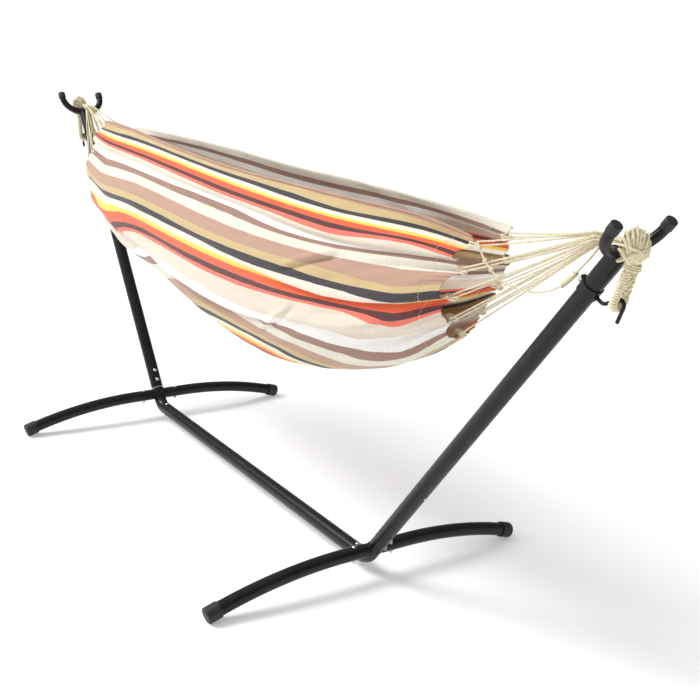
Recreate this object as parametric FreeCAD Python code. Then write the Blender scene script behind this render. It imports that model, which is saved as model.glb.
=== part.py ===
import FreeCAD, Part
import math
import os

V = FreeCAD.Vector
os.makedirs("parts", exist_ok=True)

# A hammock on a space-saving steel stand. Millimetres, +Z up, +X along the stand towards its
# right end, +Y to its back. The origin is on the floor, below the middle of the stand.

# ---- driving dimensions ----
TUBE_D = 42.0            # base beam, elbows and arms
WALL = 1.5
FOOT_D = 38.0
SLIP = 0.1               # what a sleeve's diameter is under the bore that it slides in
SLEEVE_D = TUBE_D - 2 * WALL - SLIP
STUB_D = FOOT_D - 2 * WALL - 2 * SLIP
BASE_Z = 42.0            # base beam's axis above the floor
CORNER_X = 656.0         # where the arm's axis meets the base beam's
ARM_SLOPE = 53.5         # degrees above the floor
ARM_END = 1224.0         # along the arm's axis from the corner, as the four below
RING_START = 66.0        # the bare sleeve shows between these two
RING_END = 70.0
ARM_SPLIT = 322.0        # lower arm ends, upper arm starts
SPIGOT_END = 386.0
BEND_R = 60.0            # elbow's bend
BASE_SEAM = 590.0        # base beam ends, elbow starts
FOOT_X = 680.0
FOOT_MID_Z = 80.5
FOOT_HALF = 495.0        # half the foot's span, to the cap's end centre
FOOT_STRAIGHT = 95.0     # the foot is straight out to here, then bends down
FOOT_ROOT = 29.0
CAP_D = 44.0
CAP_LONG = 38.0
YOKE_D = 23.0
YOKE_HALF = 75.0         # half the distance between the prongs
YOKE_RISE = 80.0        # prong tips above the lowest point, along the arm
YOKE_BEND = 62.0
COLLAR_AT = 1122.0
COLLAR_LONG = 26.0
COLLAR_WALL = 2.6
HOOK_D = 8.0
BOLT_D = 6.0
BOLT_HOLE = 6.6
SWING_Z = 1051.0         # the line through both saddles, which the bed swings about
BUNDLE_R = 8.5           # the cord bundle where it lies on the saddle
CLOTH = 4.0              # the bed's thickness with its small folds
CORD_D = 4.5
FAN_PAIRS = 9            # places along a bed end where cords start, two at each

slope = math.radians(ARM_SLOPE)
ARM_U = V(math.cos(slope), 0, math.sin(slope))       # up the right arm
ARM_N = V(math.sin(slope), 0, -math.cos(slope))      # out of its outer, lower side
CORNER = V(CORNER_X, 0, BASE_Z)
Y = V(0, 1, 0)


def save(name, *shapes):
    """Writes one node: a single solid, or a group of separate ones."""
    whole = shapes[0] if len(shapes) == 1 else Part.makeCompound(list(shapes))
    whole.exportStep("parts/" + name + ".step")


def mirrored(shape):
    """The same piece on the left end."""
    return shape.mirror(V(0, 0, 0), V(1, 0, 0))


def both(name, shape):
    save(name + "_right", shape)
    save(name + "_left", mirrored(shape))


def cylinder(start, end, diameter):
    axis = end - start
    return Part.makeCylinder(diameter / 2, axis.Length, start, axis)


def tube(start, end, outer, inner):
    return cylinder(start, end, outer).cut(cylinder(start, end, inner))


def on_arm(along, out=0.0, side=0.0):
    """A point by its distance along the right arm, out of its lower side, and along Y."""
    return CORNER + ARM_U * along + ARM_N * out + Y * side


def path(points, radii):
    """Straight runs joined by tangent arcs, as one wire. radii has one for each inner point."""
    edges = []
    at = points[0]
    for i in range(1, len(points) - 1):
        back = (points[i - 1] - points[i]).normalize()
        ahead = (points[i + 1] - points[i]).normalize()
        half_turn = (math.pi - back.getAngle(ahead)) / 2
        reach = radii[i - 1] * math.tan(half_turn)
        first = points[i] + back * reach
        last = points[i] + ahead * reach
        inwards = (back + ahead).normalize()
        centre = points[i] + inwards * (radii[i - 1] / math.cos(half_turn))
        middle = centre - inwards * radii[i - 1]
        if (first - at).Length > 0.001:
            edges.append(Part.LineSegment(at, first).toShape())
        edges.append(Part.Arc(first, middle, last).toShape())
        at = last
    edges.append(Part.LineSegment(at, points[-1]).toShape())
    return Part.Wire(edges)


def cord_radii(points):
    """As large as the two runs at each point allow."""
    radii = []
    for i in range(1, len(points) - 1):
        back = points[i - 1] - points[i]
        ahead = points[i + 1] - points[i]
        half_turn = (math.pi - back.getAngle(ahead)) / 2
        radii.append(0.45 * min(back.Length, ahead.Length) / math.tan(half_turn))
    return radii


def pipe(wire, diameter):
    start = wire.Edges[0]
    first = start.valueAt(start.FirstParameter)
    ahead = start.tangentAt(start.FirstParameter)
    ring = Part.Wire(Part.makeCircle(diameter / 2, first, ahead))
    return wire.makePipeShell([ring], True, False)


def bolt_cut(start, end):
    return cylinder(start, end, BOLT_HOLE)


def hexagon(centre, axis, across, thick, bore=None):
    """A hexagon head, or a nut where it has a bore, from centre along axis."""
    nut = Part.makePolygon([V(across / math.sqrt(3) * math.cos(math.radians(60 * k)),
                              across / math.sqrt(3) * math.sin(math.radians(60 * k)), 0)
                            for k in range(7)])
    solid = Part.Face(nut).extrude(V(0, 0, thick))
    if bore:
        solid = solid.cut(Part.makeCylinder(bore / 2, thick + 2, V(0, 0, -1)))
    solid.Placement = FreeCAD.Placement(centre, FreeCAD.Rotation(V(0, 0, 1), axis))
    return solid


def domed_bolt(seat, axis, length, bar, head=13.0, high=4.0):
    """A coach bolt: its dome is seated on a round bar, its shank runs along axis."""
    shank = cylinder(seat - axis * 2.5, seat + axis * length, BOLT_D)
    ball_r = (head * head / 4 + high * high) / (2 * high)
    centre = seat + axis * (ball_r - high)
    dome = Part.makeSphere(ball_r, centre)
    block = Part.makeCylinder(head / 2, high, seat, axis * -1)
    return shank.fuse(dome.common(block).cut(bar)).removeSplitter()


# ---- where the bolts go, on the right end ----
TUBE_R = TUBE_D / 2
ARM_BOLTS = (RING_END + 26.0, RING_END + 62.0)
BASE_BOLT_X = BASE_SEAM + 20.0
BEAM_END = BASE_SEAM + 33.0
FOOT_BOLT_Y = 62.0
HEAD_SUNK = 1.1          # a dome's flat base lies this far under the round tube's crown
NUT_HIGH = 5.0
NUT_ACROSS = 10.0


def arm_bolt_holes():
    return [bolt_cut(on_arm(s, -40), on_arm(s, 40)) for s in ARM_BOLTS]


def base_bolt_hole():
    return bolt_cut(V(BASE_BOLT_X, 0, 0), V(BASE_BOLT_X, 0, 90))


# ---- base beam, elbows and the arms' sleeves ----
def base_beam():
    """A straight tube whose narrowed ends slide into the elbows."""
    middle = V(-BASE_SEAM, 0, BASE_Z), V(BASE_SEAM, 0, BASE_Z)
    spigot = V(-BEAM_END, 0, BASE_Z), V(BEAM_END, 0, BASE_Z)
    beam = cylinder(middle[0], middle[1], TUBE_D).fuse(cylinder(spigot[0], spigot[1], SLEEVE_D))
    bore = cylinder(middle[0] + V(4, 0, 0), middle[1] - V(4, 0, 0), TUBE_D - 2 * WALL)
    beam = beam.cut(bore).cut(cylinder(spigot[0], spigot[1], SLEEVE_D - 2 * WALL))
    hole = base_bolt_hole()
    return beam.cut(hole).cut(mirrored(hole))


def arm_sleeve():
    """Bare steel: it joins elbow and arm, and shows as a ring between them."""
    reach = BEND_R * math.tan(slope / 2)
    sleeve = tube(on_arm(reach + 2), on_arm(RING_END + 84), SLEEVE_D, SLEEVE_D - 2 * WALL)
    return sleeve.cut(arm_bolt_holes())


def elbow():
    """The bent corner, with a stub to each side that a half of the foot slides over."""
    bend = path([V(BASE_SEAM, 0, BASE_Z), CORNER, on_arm(RING_START)], [BEND_R])
    outside = pipe(bend, TUBE_D)
    stub_end = FOOT_STRAIGHT - 8
    axis = (V(FOOT_X, -stub_end, FOOT_MID_Z), V(FOOT_X, stub_end, FOOT_MID_Z))
    outside = outside.fuse(cylinder(axis[0], axis[1], STUB_D))
    inside = pipe(bend, TUBE_D - 2 * WALL)
    shell = outside.cut(inside)
    for sign in (-1, 1):
        root = V(FOOT_X, sign * (TUBE_R + 1), FOOT_MID_Z)
        end = V(FOOT_X, sign * stub_end, FOOT_MID_Z)
        shell = shell.cut(cylinder(root, end, STUB_D - 2 * WALL))
        shell = shell.cut(foot_bolt_hole(sign))
    return shell.cut(base_bolt_hole())


# ---- feet ----
def foot_bolt_hole(sign):
    at = V(FOOT_X, sign * FOOT_BOLT_Y, 0)
    return bolt_cut(at + V(0, 0, FOOT_MID_Z - 40), at + V(0, 0, FOOT_MID_Z + 40))


def foot_curve(end_z):
    """Radius and tilt of the foot's bent stretch, which meets the straight one smoothly."""
    run = FOOT_HALF - FOOT_STRAIGHT
    drop = FOOT_MID_Z - end_z
    radius = (run * run + drop * drop) / (2 * drop)
    return radius, math.asin(run / radius)


CAP_END_Z = 18.2
CAP_FLOOR = 4.0          # the tube ends this far inside the cap's end
FOOT_R, FOOT_TILT = foot_curve(CAP_END_Z)


def foot_point(angle, sign):
    y = FOOT_STRAIGHT + FOOT_R * math.sin(angle)
    return V(FOOT_X, sign * y, FOOT_MID_Z - FOOT_R * (1 - math.cos(angle)))


def foot_half(sign):
    last = FOOT_TILT - CAP_FLOOR / FOOT_R
    root = V(FOOT_X, sign * FOOT_ROOT, FOOT_MID_Z)
    turn = foot_point(0, sign)
    straight = Part.LineSegment(root, turn).toShape()
    bent = Part.Arc(turn, foot_point(last / 2, sign), foot_point(last, sign)).toShape()
    wire = Part.Wire([straight, bent])
    half = pipe(wire, FOOT_D).cut(pipe(wire, FOOT_D - 2 * WALL))
    return half.cut(foot_bolt_hole(sign))


def foot_cap(sign):
    """A plastic cap over the foot's end, with a flat where it stands on the floor."""
    start_angle = FOOT_TILT - CAP_LONG / FOOT_R
    start = foot_point(start_angle, sign)
    end = foot_point(FOOT_TILT, sign)
    body = cylinder(start, end, CAP_D)
    far_edge = [e for e in body.Edges if e.Closed and abs(e.CenterOfMass.y) > abs(end.y) - 2]
    body = body.makeFillet(6.0, far_edge)
    stop = foot_point(FOOT_TILT - (CAP_FLOOR - 0.8) / FOOT_R, sign)
    beyond = start + (start - end).normalize() * 2
    bore = cylinder(beyond, stop, FOOT_D + 0.7)
    floor = Part.makeBox(200, 200, 50, V(FOOT_X - 100, sign * FOOT_HALF - 100, -50))
    return body.cut(bore).cut(floor)


# ---- arms ----
def arm_lower():
    outer = cylinder(on_arm(RING_END), on_arm(ARM_SPLIT), TUBE_D)
    spigot = cylinder(on_arm(ARM_SPLIT - 1), on_arm(SPIGOT_END), SLEEVE_D)
    bore = cylinder(on_arm(RING_END), on_arm(ARM_SPLIT - 4), TUBE_D - 2 * WALL)
    narrow = cylinder(on_arm(ARM_SPLIT - 5), on_arm(SPIGOT_END), SLEEVE_D - 2 * WALL)
    lower = outer.fuse(spigot).cut(bore).cut(narrow)
    return lower.cut(arm_bolt_holes()).cut(button_hole())


def arm_upper():
    upper = tube(on_arm(ARM_SPLIT), on_arm(ARM_END), TUBE_D, TUBE_D - 2 * WALL)
    return upper.cut(button_hole()).cut(yoke_bottom())


# ---- spring button that locks the two halves of an arm ----
BUTTON_AT = ARM_SPLIT + 24.0
BUTTON_D = 8.0
BUTTON_HOLE = BUTTON_D + 0.12
BUTTON_OUT = 3.2         # how far it stands out of the arm
BUTTON_IN = SLEEVE_D / 2 - WALL - 3.0


def button_hole():
    """In the arm's outer side, through both halves."""
    return cylinder(on_arm(BUTTON_AT, 8), on_arm(BUTTON_AT, 30), BUTTON_HOLE)


def snap_button():
    end = on_arm(BUTTON_AT, TUBE_R + BUTTON_OUT)
    pin = cylinder(on_arm(BUTTON_AT, BUTTON_IN), end, BUTTON_D)
    tip = [e for e in pin.Edges if e.Closed and (e.CenterOfMass - end).Length < 1]
    return pin.makeFillet(2.0, tip)


def button_spring():
    """A bent strip inside the arm that pushes the button out. It is drawn pressed."""
    thick = 0.8
    wide = 9.0
    outline = [on_arm(BUTTON_AT - 5, 8.8), on_arm(BUTTON_AT + 30, 4.0), on_arm(BUTTON_AT + 36, 0),
               on_arm(BUTTON_AT + 30, -4.0), on_arm(BUTTON_AT - 6, 1.0 + WALL - SLEEVE_D / 2)]
    pieces = []
    for a, b in zip(outline, outline[1:]):
        across = (b - a).normalize().cross(Y).normalize() * (thick / 2)
        corners = [a - across, b - across, b + across, a + across]
        face = Part.Face(Part.makePolygon(corners + corners[:1]))
        face.translate(Y * (-wide / 2))
        pieces.append(face.extrude(Y * wide))
    for bend in outline[1:-1]:
        pieces.append(cylinder(bend - Y * (wide / 2), bend + Y * (wide / 2), thick))
    return pieces[0].fuse(pieces[1:]).removeSplitter()


# ---- yokes ----
YOKE_AT = ARM_END + 6.0  # the lowest point of the yoke's centre line


def yoke_wire(rise):
    points = [on_arm(YOKE_AT + rise, 0, -YOKE_HALF), on_arm(YOKE_AT, 0, -YOKE_HALF),
              on_arm(YOKE_AT, 0, YOKE_HALF), on_arm(YOKE_AT + rise, 0, YOKE_HALF)]
    return path(points, [YOKE_BEND, YOKE_BEND])


def yoke_bottom():
    return cylinder(on_arm(YOKE_AT, 0, -30), on_arm(YOKE_AT, 0, 30), YOKE_D)


def yoke():
    wire = yoke_wire(YOKE_RISE - 3)
    return pipe(wire, YOKE_D).cut(pipe(wire, YOKE_D - 2 * WALL))


def yoke_cap(side):
    """A soft cap over a prong's tip."""
    low = on_arm(YOKE_AT + YOKE_RISE - 20, 0, side * YOKE_HALF)
    seat = on_arm(YOKE_AT + YOKE_RISE - 3, 0, side * YOKE_HALF)
    tip = on_arm(YOKE_AT + YOKE_RISE + 1, 0, side * YOKE_HALF)
    body = cylinder(low, tip, YOKE_D + 3)
    top_edge = [e for e in body.Edges if e.Closed and (e.CenterOfMass - tip).Length < 1]
    body = body.makeFillet(2.6, top_edge)
    return body.cut(cylinder(low, seat, YOKE_D + 0.2))


# ---- hook and its clamp ----
def hook_collar():
    """A split band round the arm with two ears, which a bolt pulls together."""
    low = on_arm(COLLAR_AT - COLLAR_LONG / 2)
    high = on_arm(COLLAR_AT + COLLAR_LONG / 2)
    band_r = TUBE_R + 0.15 + COLLAR_WALL
    band = cylinder(low, high, 2 * band_r)
    for sign in (-1, 1):
        ear = [on_arm(COLLAR_AT - 8, -TUBE_R, sign * 2.0), on_arm(COLLAR_AT + 8, -TUBE_R, sign * 2.0),
               on_arm(COLLAR_AT + 8, -band_r - 8, sign * 2.0),
               on_arm(COLLAR_AT - 8, -band_r - 8, sign * 2.0)]
        face = Part.Face(Part.makePolygon(ear + ear[:1]))
        band = band.fuse(face.extrude(Y * (sign * 3.0)))
    band = band.cut(cylinder(low, high, TUBE_D + 0.3))
    gap = [on_arm(COLLAR_AT - 20, -TUBE_R + 3, -2), on_arm(COLLAR_AT + 20, -TUBE_R + 3, -2),
           on_arm(COLLAR_AT + 20, -band_r - 12, -2), on_arm(COLLAR_AT - 20, -band_r - 12, -2)]
    band = band.cut(Part.Face(Part.makePolygon(gap + gap[:1])).extrude(Y * 4))
    eye = on_arm(COLLAR_AT, -band_r - 4)
    band = band.cut(cylinder(eye - Y * 12, eye + Y * 12, 5.4))
    return band.removeSplitter()


def collar_bolt():
    eye = on_arm(COLLAR_AT, -(TUBE_R + 0.15 + COLLAR_WALL) - 4)
    shank = cylinder(eye - Y * 5.0, eye + Y * 11.0, 5.0)
    return shank.fuse(hexagon(eye - Y * 5.0, Y * -1, 8.0, 3.4)).removeSplitter()


def collar_nut():
    eye = on_arm(COLLAR_AT, -(TUBE_R + 0.15 + COLLAR_WALL) - 4)
    return hexagon(eye + Y * 5.0, Y, 8.0, 4.0, 5.0)


HOOK_POINTS = (V(1362, 0, 921), V(1421, 0, 953), V(1400, 0, 893))


def hook():
    """A round rod welded to the clamp, out through the eye of the end loop and down."""
    root = on_arm(COLLAR_AT, TUBE_R + 0.15 + COLLAR_WALL)
    points = [root] + list(HOOK_POINTS)
    rod = pipe(path(points, [16.0, 11.0]), HOOK_D)
    tip = [e for e in rod.Edges if e.Closed and (e.CenterOfMass - points[-1]).Length < 1]
    rod = rod.makeFillet(2.5, tip)
    band_r = TUBE_R + 0.15 + COLLAR_WALL
    return rod.cut(cylinder(on_arm(COLLAR_AT - 40), on_arm(COLLAR_AT + 40), 2 * band_r))


# ---- the hammock's end outside the saddle: it stays still while the bed swings ----
KNOT_AT = V(1426, -8, 1048)
NECK_AT = V(1420, 0, 1010)
EYE_AT = V(1398, 0, 936)
LOOP_D = 18.0


def end_knot():
    """The cord bundle over the saddle, and the folded, tied hank that it ends in."""
    bundle = cylinder(V(BUNDLE_END + 0.4, 0, SWING_Z), V(KNOT_AT.x, 0, SWING_Z), 2 * BUNDLE_R)
    hank = Part.makeSphere(1.0)
    size = FreeCAD.Matrix()
    size.scale(27.0, 35.0, 37.0)
    hank = hank.transformGeometry(size)
    hank.translate(KNOT_AT)
    return bundle.fuse(hank).removeSplitter()


def wrapped_loop():
    """The eye below the knot: two wrapped legs that meet round the hook."""
    down = (EYE_AT - NECK_AT).normalize()
    top = NECK_AT - down * 1.0
    half_top = LOOP_D / 2 + 0.3
    half_eye = LOOP_D / 2 + 5.2
    left = top - Y * half_top
    left_low = EYE_AT - Y * half_eye
    right_low = EYE_AT + Y * half_eye
    right = top + Y * half_top
    edges = [Part.LineSegment(left, left_low).toShape(),
             Part.Arc(left_low, EYE_AT + down * half_eye, right_low).toShape(),
             Part.LineSegment(right_low, right).toShape()]
    loop = pipe(Part.Wire(edges), LOOP_D)
    return loop.cut(end_knot())


# ---- the bed: a long sheet folded upwards into a deep pouch, gathered at both ends ----
# Each station: middle X, near rim y z, near bulge y, lowest y z, far bulge y, far rim y z.
STATIONS = (
    (-1030.0, -48, 1022, -122, -26, 656, 82, 42, 1000),
    (-860.0, -68, 1032, -140, -24, 590, 102, 56, 1010),
    (-620.0, -80, 1026, -148, -22, 562, 118, 70, 1014),
    (-320.0, -88, 1012, -150, -20, 510, 128, 78, 1012),
    (0.0, -92, 1003, -150, -20, 474, 132, 82, 1008),
    (320.0, -88, 1005, -148, -20, 491, 128, 78, 1012),
    (620.0, -78, 1009, -134, -18, 557, 114, 68, 1016),
    (860.0, -62, 1007, -106, -14, 652, 88, 52, 1016),
    (998.0, -50, 992, -76, -10, 752, 62, 40, 1006),
)
RIGHT_LEAN = 0.33        # the right end leans outwards at the top, by this much of its height
LEVELS = (0.0, 0.22, 0.5, 0.8)
BULGE = (0.0, 0.72, 1.0, 0.8)


def station_line(station):
    """The sheet's middle line across the bed, from near rim to far rim."""
    mid_x, near_y, near_z, bulge_n, low_y, low_z, bulge_f, far_y, far_z = station
    lean = RIGHT_LEAN * max(0.0, mid_x / STATIONS[-1][0]) ** 2
    half_z = (near_z + low_z) / 2
    points = []
    for level, part in zip(LEVELS, BULGE):
        rim = near_y + (bulge_n - near_y) * part
        y = rim + (low_y - rim) * max(0.0, level - 0.5) * 0.9
        points.append((y, near_z + (low_z - near_z) * level))
    points.append((low_y, low_z))
    for level, part in reversed(list(zip(LEVELS, BULGE))):
        rim = far_y + (bulge_f - far_y) * part
        y = rim + (low_y - rim) * max(0.0, level - 0.5) * 0.9
        points.append((y, far_z + (low_z - far_z) * level))
    return [V(mid_x + lean * (z - half_z), y, z) for y, z in points]


def beside(points, distance):
    """The same line moved sideways in its own plane, to one face of the sheet."""
    spline = Part.BSplineCurve()
    spline.interpolate(points)
    plane = (points[1] - points[0]).cross(points[4] - points[0]).normalize()
    moved = []
    for point in points:
        along = V(*spline.tangent(spline.parameter(point))[0]).normalize()
        moved.append(point + along.cross(plane) * distance)
    return moved


def station_wire(station):
    line = station_line(station)
    faces = [Part.BSplineCurve(), Part.BSplineCurve()]
    faces[0].interpolate(beside(line, CLOTH / 2))
    faces[1].interpolate(beside(line, -CLOTH / 2))
    a, b = faces[0].StartPoint, faces[0].EndPoint
    c, d = faces[1].StartPoint, faces[1].EndPoint
    return Part.Wire([faces[0].toShape(), Part.LineSegment(b, d).toShape(),
                      faces[1].toShape(), Part.LineSegment(c, a).toShape()])


def bed():
    wires = [station_wire(station) for station in STATIONS]
    return Part.makeLoft(wires, True, False)


# ---- cords ----
BUNDLE_START = 1330.0
BUNDLE_END = 1352.0
FAN_INTO_BED = 2.0
FAN_SAG = 5.0


def gather():
    """The cords drawn together, turning with the bed, up to the saddle."""
    long = BUNDLE_END - BUNDLE_START
    return Part.makeCone(19.0, BUNDLE_R, long, V(BUNDLE_START, 0, SWING_Z), V(1, 0, 0))


def bed_end_point(side, share):
    """A point just inside the bed's end edge, by its share of the way from near to far rim."""
    spline = Part.BSplineCurve()
    spline.interpolate(station_line(STATIONS[-1] if side > 0 else STATIONS[0]))
    whole = spline.length()
    point = spline.value(spline.parameterAtDistance(share * whole, spline.FirstParameter))
    return point - V(side * FAN_INTO_BED, 0, 0)


def fan_routes(side):
    """Two cords from each place on a bed end to the face of the gathered bundle."""
    routes = []
    for k in range(FAN_PAIRS):
        share = 0.025 + 0.95 * k / (FAN_PAIRS - 1)
        mid_turn = 155 + 230 * k / (FAN_PAIRS - 1)
        for ring_r, shift in ((16.4, -0.010), (9.9, 0.010)):
            start = bed_end_point(side, min(max(share + shift, 0.008), 0.992))
            turn = math.radians(mid_turn + 800 * shift)
            end = V(side * (BUNDLE_START + 1.0), ring_r * math.cos(turn),
                    SWING_Z + ring_r * math.sin(turn))
            middle = (start + end) / 2 - V(0, 0, FAN_SAG)
            routes.append((start, middle, end))
    return routes


def fan_cords(side):
    cords = []
    for route in fan_routes(side):
        cords.append(pipe(path(route, cord_radii(route)), CORD_D))
    return cords


LANYARD = (V(1051, -58, 983), V(1076, -66, 963), V(1106, -69, 943), V(1136, -67, 926),
           V(1169, -60, 917), V(1200, -50, 913), V(1229, -38, 917), V(1252, -27, 927),
           V(1270, -18, 943), V(1286, -11, 963), V(1304, -7, 986), V(1324, -4, 1011),
           V(1342, -1, 1040))


def lanyard():
    radii = cord_radii(LANYARD)
    print("lanyard radii", [round(r) for r in radii])
    wire = path(LANYARD, radii)
    solid = pipe(wire, CORD_D)
    section = math.pi * CORD_D ** 2 / 4
    print("lanyard length", round(wire.Length), "volume ratio", solid.Volume / section / wire.Length)
    return solid


# ---- everything, written out ----
both("elbow", elbow())
both("arm_sleeve", arm_sleeve())
both("arm_lower", arm_lower())
both("arm_upper", arm_upper())
both("snap_button", snap_button())
both("button_spring", button_spring())
both("yoke", yoke())
both("hook_collar", hook_collar())
both("hook", hook())
both("end_knot", end_knot())
both("wrapped_loop", wrapped_loop())
both("gather", gather())
save("base_beam", base_beam())
for place, side in (("front", -1), ("rear", 1)):
    both("foot_" + place, foot_half(side))
    both("foot_cap_" + place, foot_cap(side))

caps = [yoke_cap(-1), yoke_cap(1)]
save("yoke_caps", *caps, *[mirrored(c) for c in caps])

arm_bar = cylinder(on_arm(RING_END), on_arm(ARM_SPLIT), TUBE_D)
arm_bolts = [domed_bolt(on_arm(s, -TUBE_R + HEAD_SUNK), ARM_N, TUBE_D + 8, arm_bar)
             for s in ARM_BOLTS]
arm_nuts = [hexagon(on_arm(s, TUBE_R), ARM_N, NUT_ACROSS, NUT_HIGH, BOLT_D) for s in ARM_BOLTS]
base_bar = cylinder(V(0, 0, BASE_Z), V(CORNER_X, 0, BASE_Z), TUBE_D)
base_bolts = [domed_bolt(V(BASE_BOLT_X, 0, BASE_Z + TUBE_R - HEAD_SUNK), V(0, 0, -1), TUBE_D + 9,
                         base_bar)]
base_nuts = [hexagon(V(BASE_BOLT_X, 0, BASE_Z - TUBE_R), V(0, 0, -1), NUT_ACROSS + 4, 7.0, BOLT_D)]
foot_top = FOOT_MID_Z + FOOT_D / 2
foot_low = FOOT_MID_Z - FOOT_D / 2
foot_bar = cylinder(V(FOOT_X, -FOOT_STRAIGHT, FOOT_MID_Z), V(FOOT_X, FOOT_STRAIGHT, FOOT_MID_Z),
                    FOOT_D)
foot_bolts = []
foot_nuts = []
for side in (-1, 1):
    top = V(FOOT_X, side * FOOT_BOLT_Y, foot_top - HEAD_SUNK)
    foot_bolts.append(domed_bolt(top, V(0, 0, -1), FOOT_D + 8, foot_bar))
    under = V(FOOT_X, side * FOOT_BOLT_Y, foot_low)
    foot_nuts.append(hexagon(under, V(0, 0, -1), NUT_ACROSS, NUT_HIGH, BOLT_D))

for name, group in (("arm_bolts", arm_bolts), ("arm_nuts", arm_nuts), ("base_bolts", base_bolts),
                    ("base_nuts", base_nuts), ("foot_bolts", foot_bolts), ("foot_nuts", foot_nuts),
                    ("collar_bolts", [collar_bolt()]), ("collar_nuts", [collar_nut()])):
    save(name, *group, *[mirrored(piece) for piece in group])

save("bed_fabric", bed())
save("fan_cords_right", *fan_cords(1))
save("fan_cords_left", *fan_cords(-1))
save("lanyard", lanyard())
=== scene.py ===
import math

import bpy
import numpy as np
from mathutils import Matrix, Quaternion, Vector


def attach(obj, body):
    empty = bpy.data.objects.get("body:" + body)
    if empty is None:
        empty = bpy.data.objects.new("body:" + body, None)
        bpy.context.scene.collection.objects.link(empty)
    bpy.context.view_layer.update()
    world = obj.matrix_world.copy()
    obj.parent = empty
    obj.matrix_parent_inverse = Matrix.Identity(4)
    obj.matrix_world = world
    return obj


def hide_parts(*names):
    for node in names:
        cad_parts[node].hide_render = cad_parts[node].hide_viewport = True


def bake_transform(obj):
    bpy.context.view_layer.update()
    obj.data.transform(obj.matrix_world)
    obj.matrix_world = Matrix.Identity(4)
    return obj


# The looks of a striped cotton hammock on a black steel stand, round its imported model.
# Metres, +Z up, +X along the stand towards its right end, +Y to its back.

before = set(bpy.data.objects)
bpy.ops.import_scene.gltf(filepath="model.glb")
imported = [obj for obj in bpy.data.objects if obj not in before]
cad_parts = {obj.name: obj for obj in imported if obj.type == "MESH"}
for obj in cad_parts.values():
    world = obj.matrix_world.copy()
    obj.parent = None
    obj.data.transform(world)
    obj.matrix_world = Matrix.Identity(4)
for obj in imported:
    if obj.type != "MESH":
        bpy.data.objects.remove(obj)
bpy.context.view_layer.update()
scene = bpy.context.scene
chance = np.random.RandomState(11)
TURN = 2 * math.pi

# ---- the camera ----
CAMERA_AT = Vector((2.7066, -1.5385, 1.4063))
CAMERA_YAW = 2.5283
CAMERA_PITCH = -0.2965
CAMERA_ROLL = 0.0581
CAMERA_LENS = 54.28


def make_camera():
    data = bpy.data.cameras.new("camera")
    data.lens = CAMERA_LENS
    data.clip_start = 0.05
    camera = bpy.data.objects.new("camera", data)
    scene.collection.objects.link(camera)
    ahead = Vector((math.cos(CAMERA_PITCH) * math.cos(CAMERA_YAW),
                    math.cos(CAMERA_PITCH) * math.sin(CAMERA_YAW), math.sin(CAMERA_PITCH)))
    camera.location = CAMERA_AT
    camera.rotation_mode = "QUATERNION"
    camera.rotation_quaternion = Quaternion(ahead, -CAMERA_ROLL) @ ahead.to_track_quat("-Z", "Y")
    scene.camera = camera


make_camera()


# ---- geometry helpers ----
def unit(v):
    return v / np.maximum(np.linalg.norm(v, axis=-1, keepdims=True), 1e-12)


def lengths_along(line):
    gaps = np.linalg.norm(np.diff(line, axis=0), axis=1)
    return np.concatenate([[0.0], np.cumsum(gaps)])


def at_lengths(line, wanted):
    along = lengths_along(line)
    return np.stack([np.interp(wanted, along, line[:, k]) for k in range(3)], axis=1)


def stepped(line, step):
    """The same line with its points a step apart, and how far along it each one is."""
    whole = lengths_along(line)[-1]
    along = np.linspace(0, whole, max(3, int(round(whole / step)) + 1))
    return at_lengths(line, along), along


def smooth_through(places, values, wanted):
    """A natural cubic spline through rows of values at increasing places."""
    n = len(places)
    gap = np.diff(places)
    system = np.eye(n)
    right = np.zeros_like(values)
    for i in range(1, n - 1):
        system[i, i - 1:i + 2] = gap[i - 1], 2 * (gap[i - 1] + gap[i]), gap[i]
        right[i] = 6 * ((values[i + 1] - values[i]) / gap[i] - (values[i] - values[i - 1]) / gap[i - 1])
    bend = np.linalg.solve(system, right)
    k = np.clip(np.searchsorted(places, wanted, side="right") - 1, 0, n - 2)
    t = (wanted - places[k])[:, None]
    g = gap[k][:, None]
    slope = (values[k + 1] - values[k]) / g - g * (2 * bend[k] + bend[k + 1]) / 6
    return values[k] + slope * t + bend[k] / 2 * t ** 2 + (bend[k + 1] - bend[k]) / (6 * g) * t ** 3


def sides_of(line, closed=False):
    """Two directions across the line at each point, which turn no more than the line does."""
    if closed:
        ahead = unit(np.roll(line, -1, axis=0) - np.roll(line, 1, axis=0))
    else:
        ahead = unit(np.gradient(line, axis=0))
    start = np.array([0.0, 0.0, 1.0]) if abs(ahead[0][2]) < 0.8 else np.array([1.0, 0.0, 0.0])
    across = [unit(np.cross(ahead[0], start))]
    for direction in ahead[1:]:
        carried = across[-1] - direction * np.dot(across[-1], direction)
        across.append(unit(carried))
    across = np.array(across)
    return across, np.cross(ahead, across)


def tube(line, radius, corners=8, closed=False):
    """Points and faces of a round tube along a line; radius is one number or one for each point."""
    line = np.asarray(line, float)
    count = len(line)
    radius = np.broadcast_to(radius, (count,))
    across, over = sides_of(line, closed)
    turns = np.arange(corners) * TURN / corners
    ring = (across[:, None] * np.cos(turns)[None, :, None] + over[:, None] * np.sin(turns)[None, :, None])
    points = (line[:, None] + ring * radius[:, None, None]).reshape(-1, 3)
    faces = []
    for i in range(count if closed else count - 1):
        here, there = i * corners, (i + 1) % count * corners
        for j in range(corners):
            k = (j + 1) % corners
            faces.append((here + j, here + k, there + k, there + j))
    if not closed:
        faces.append(tuple(range(corners))[::-1])
        faces.append(tuple(range((count - 1) * corners, count * corners)))
    return points, faces


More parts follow.
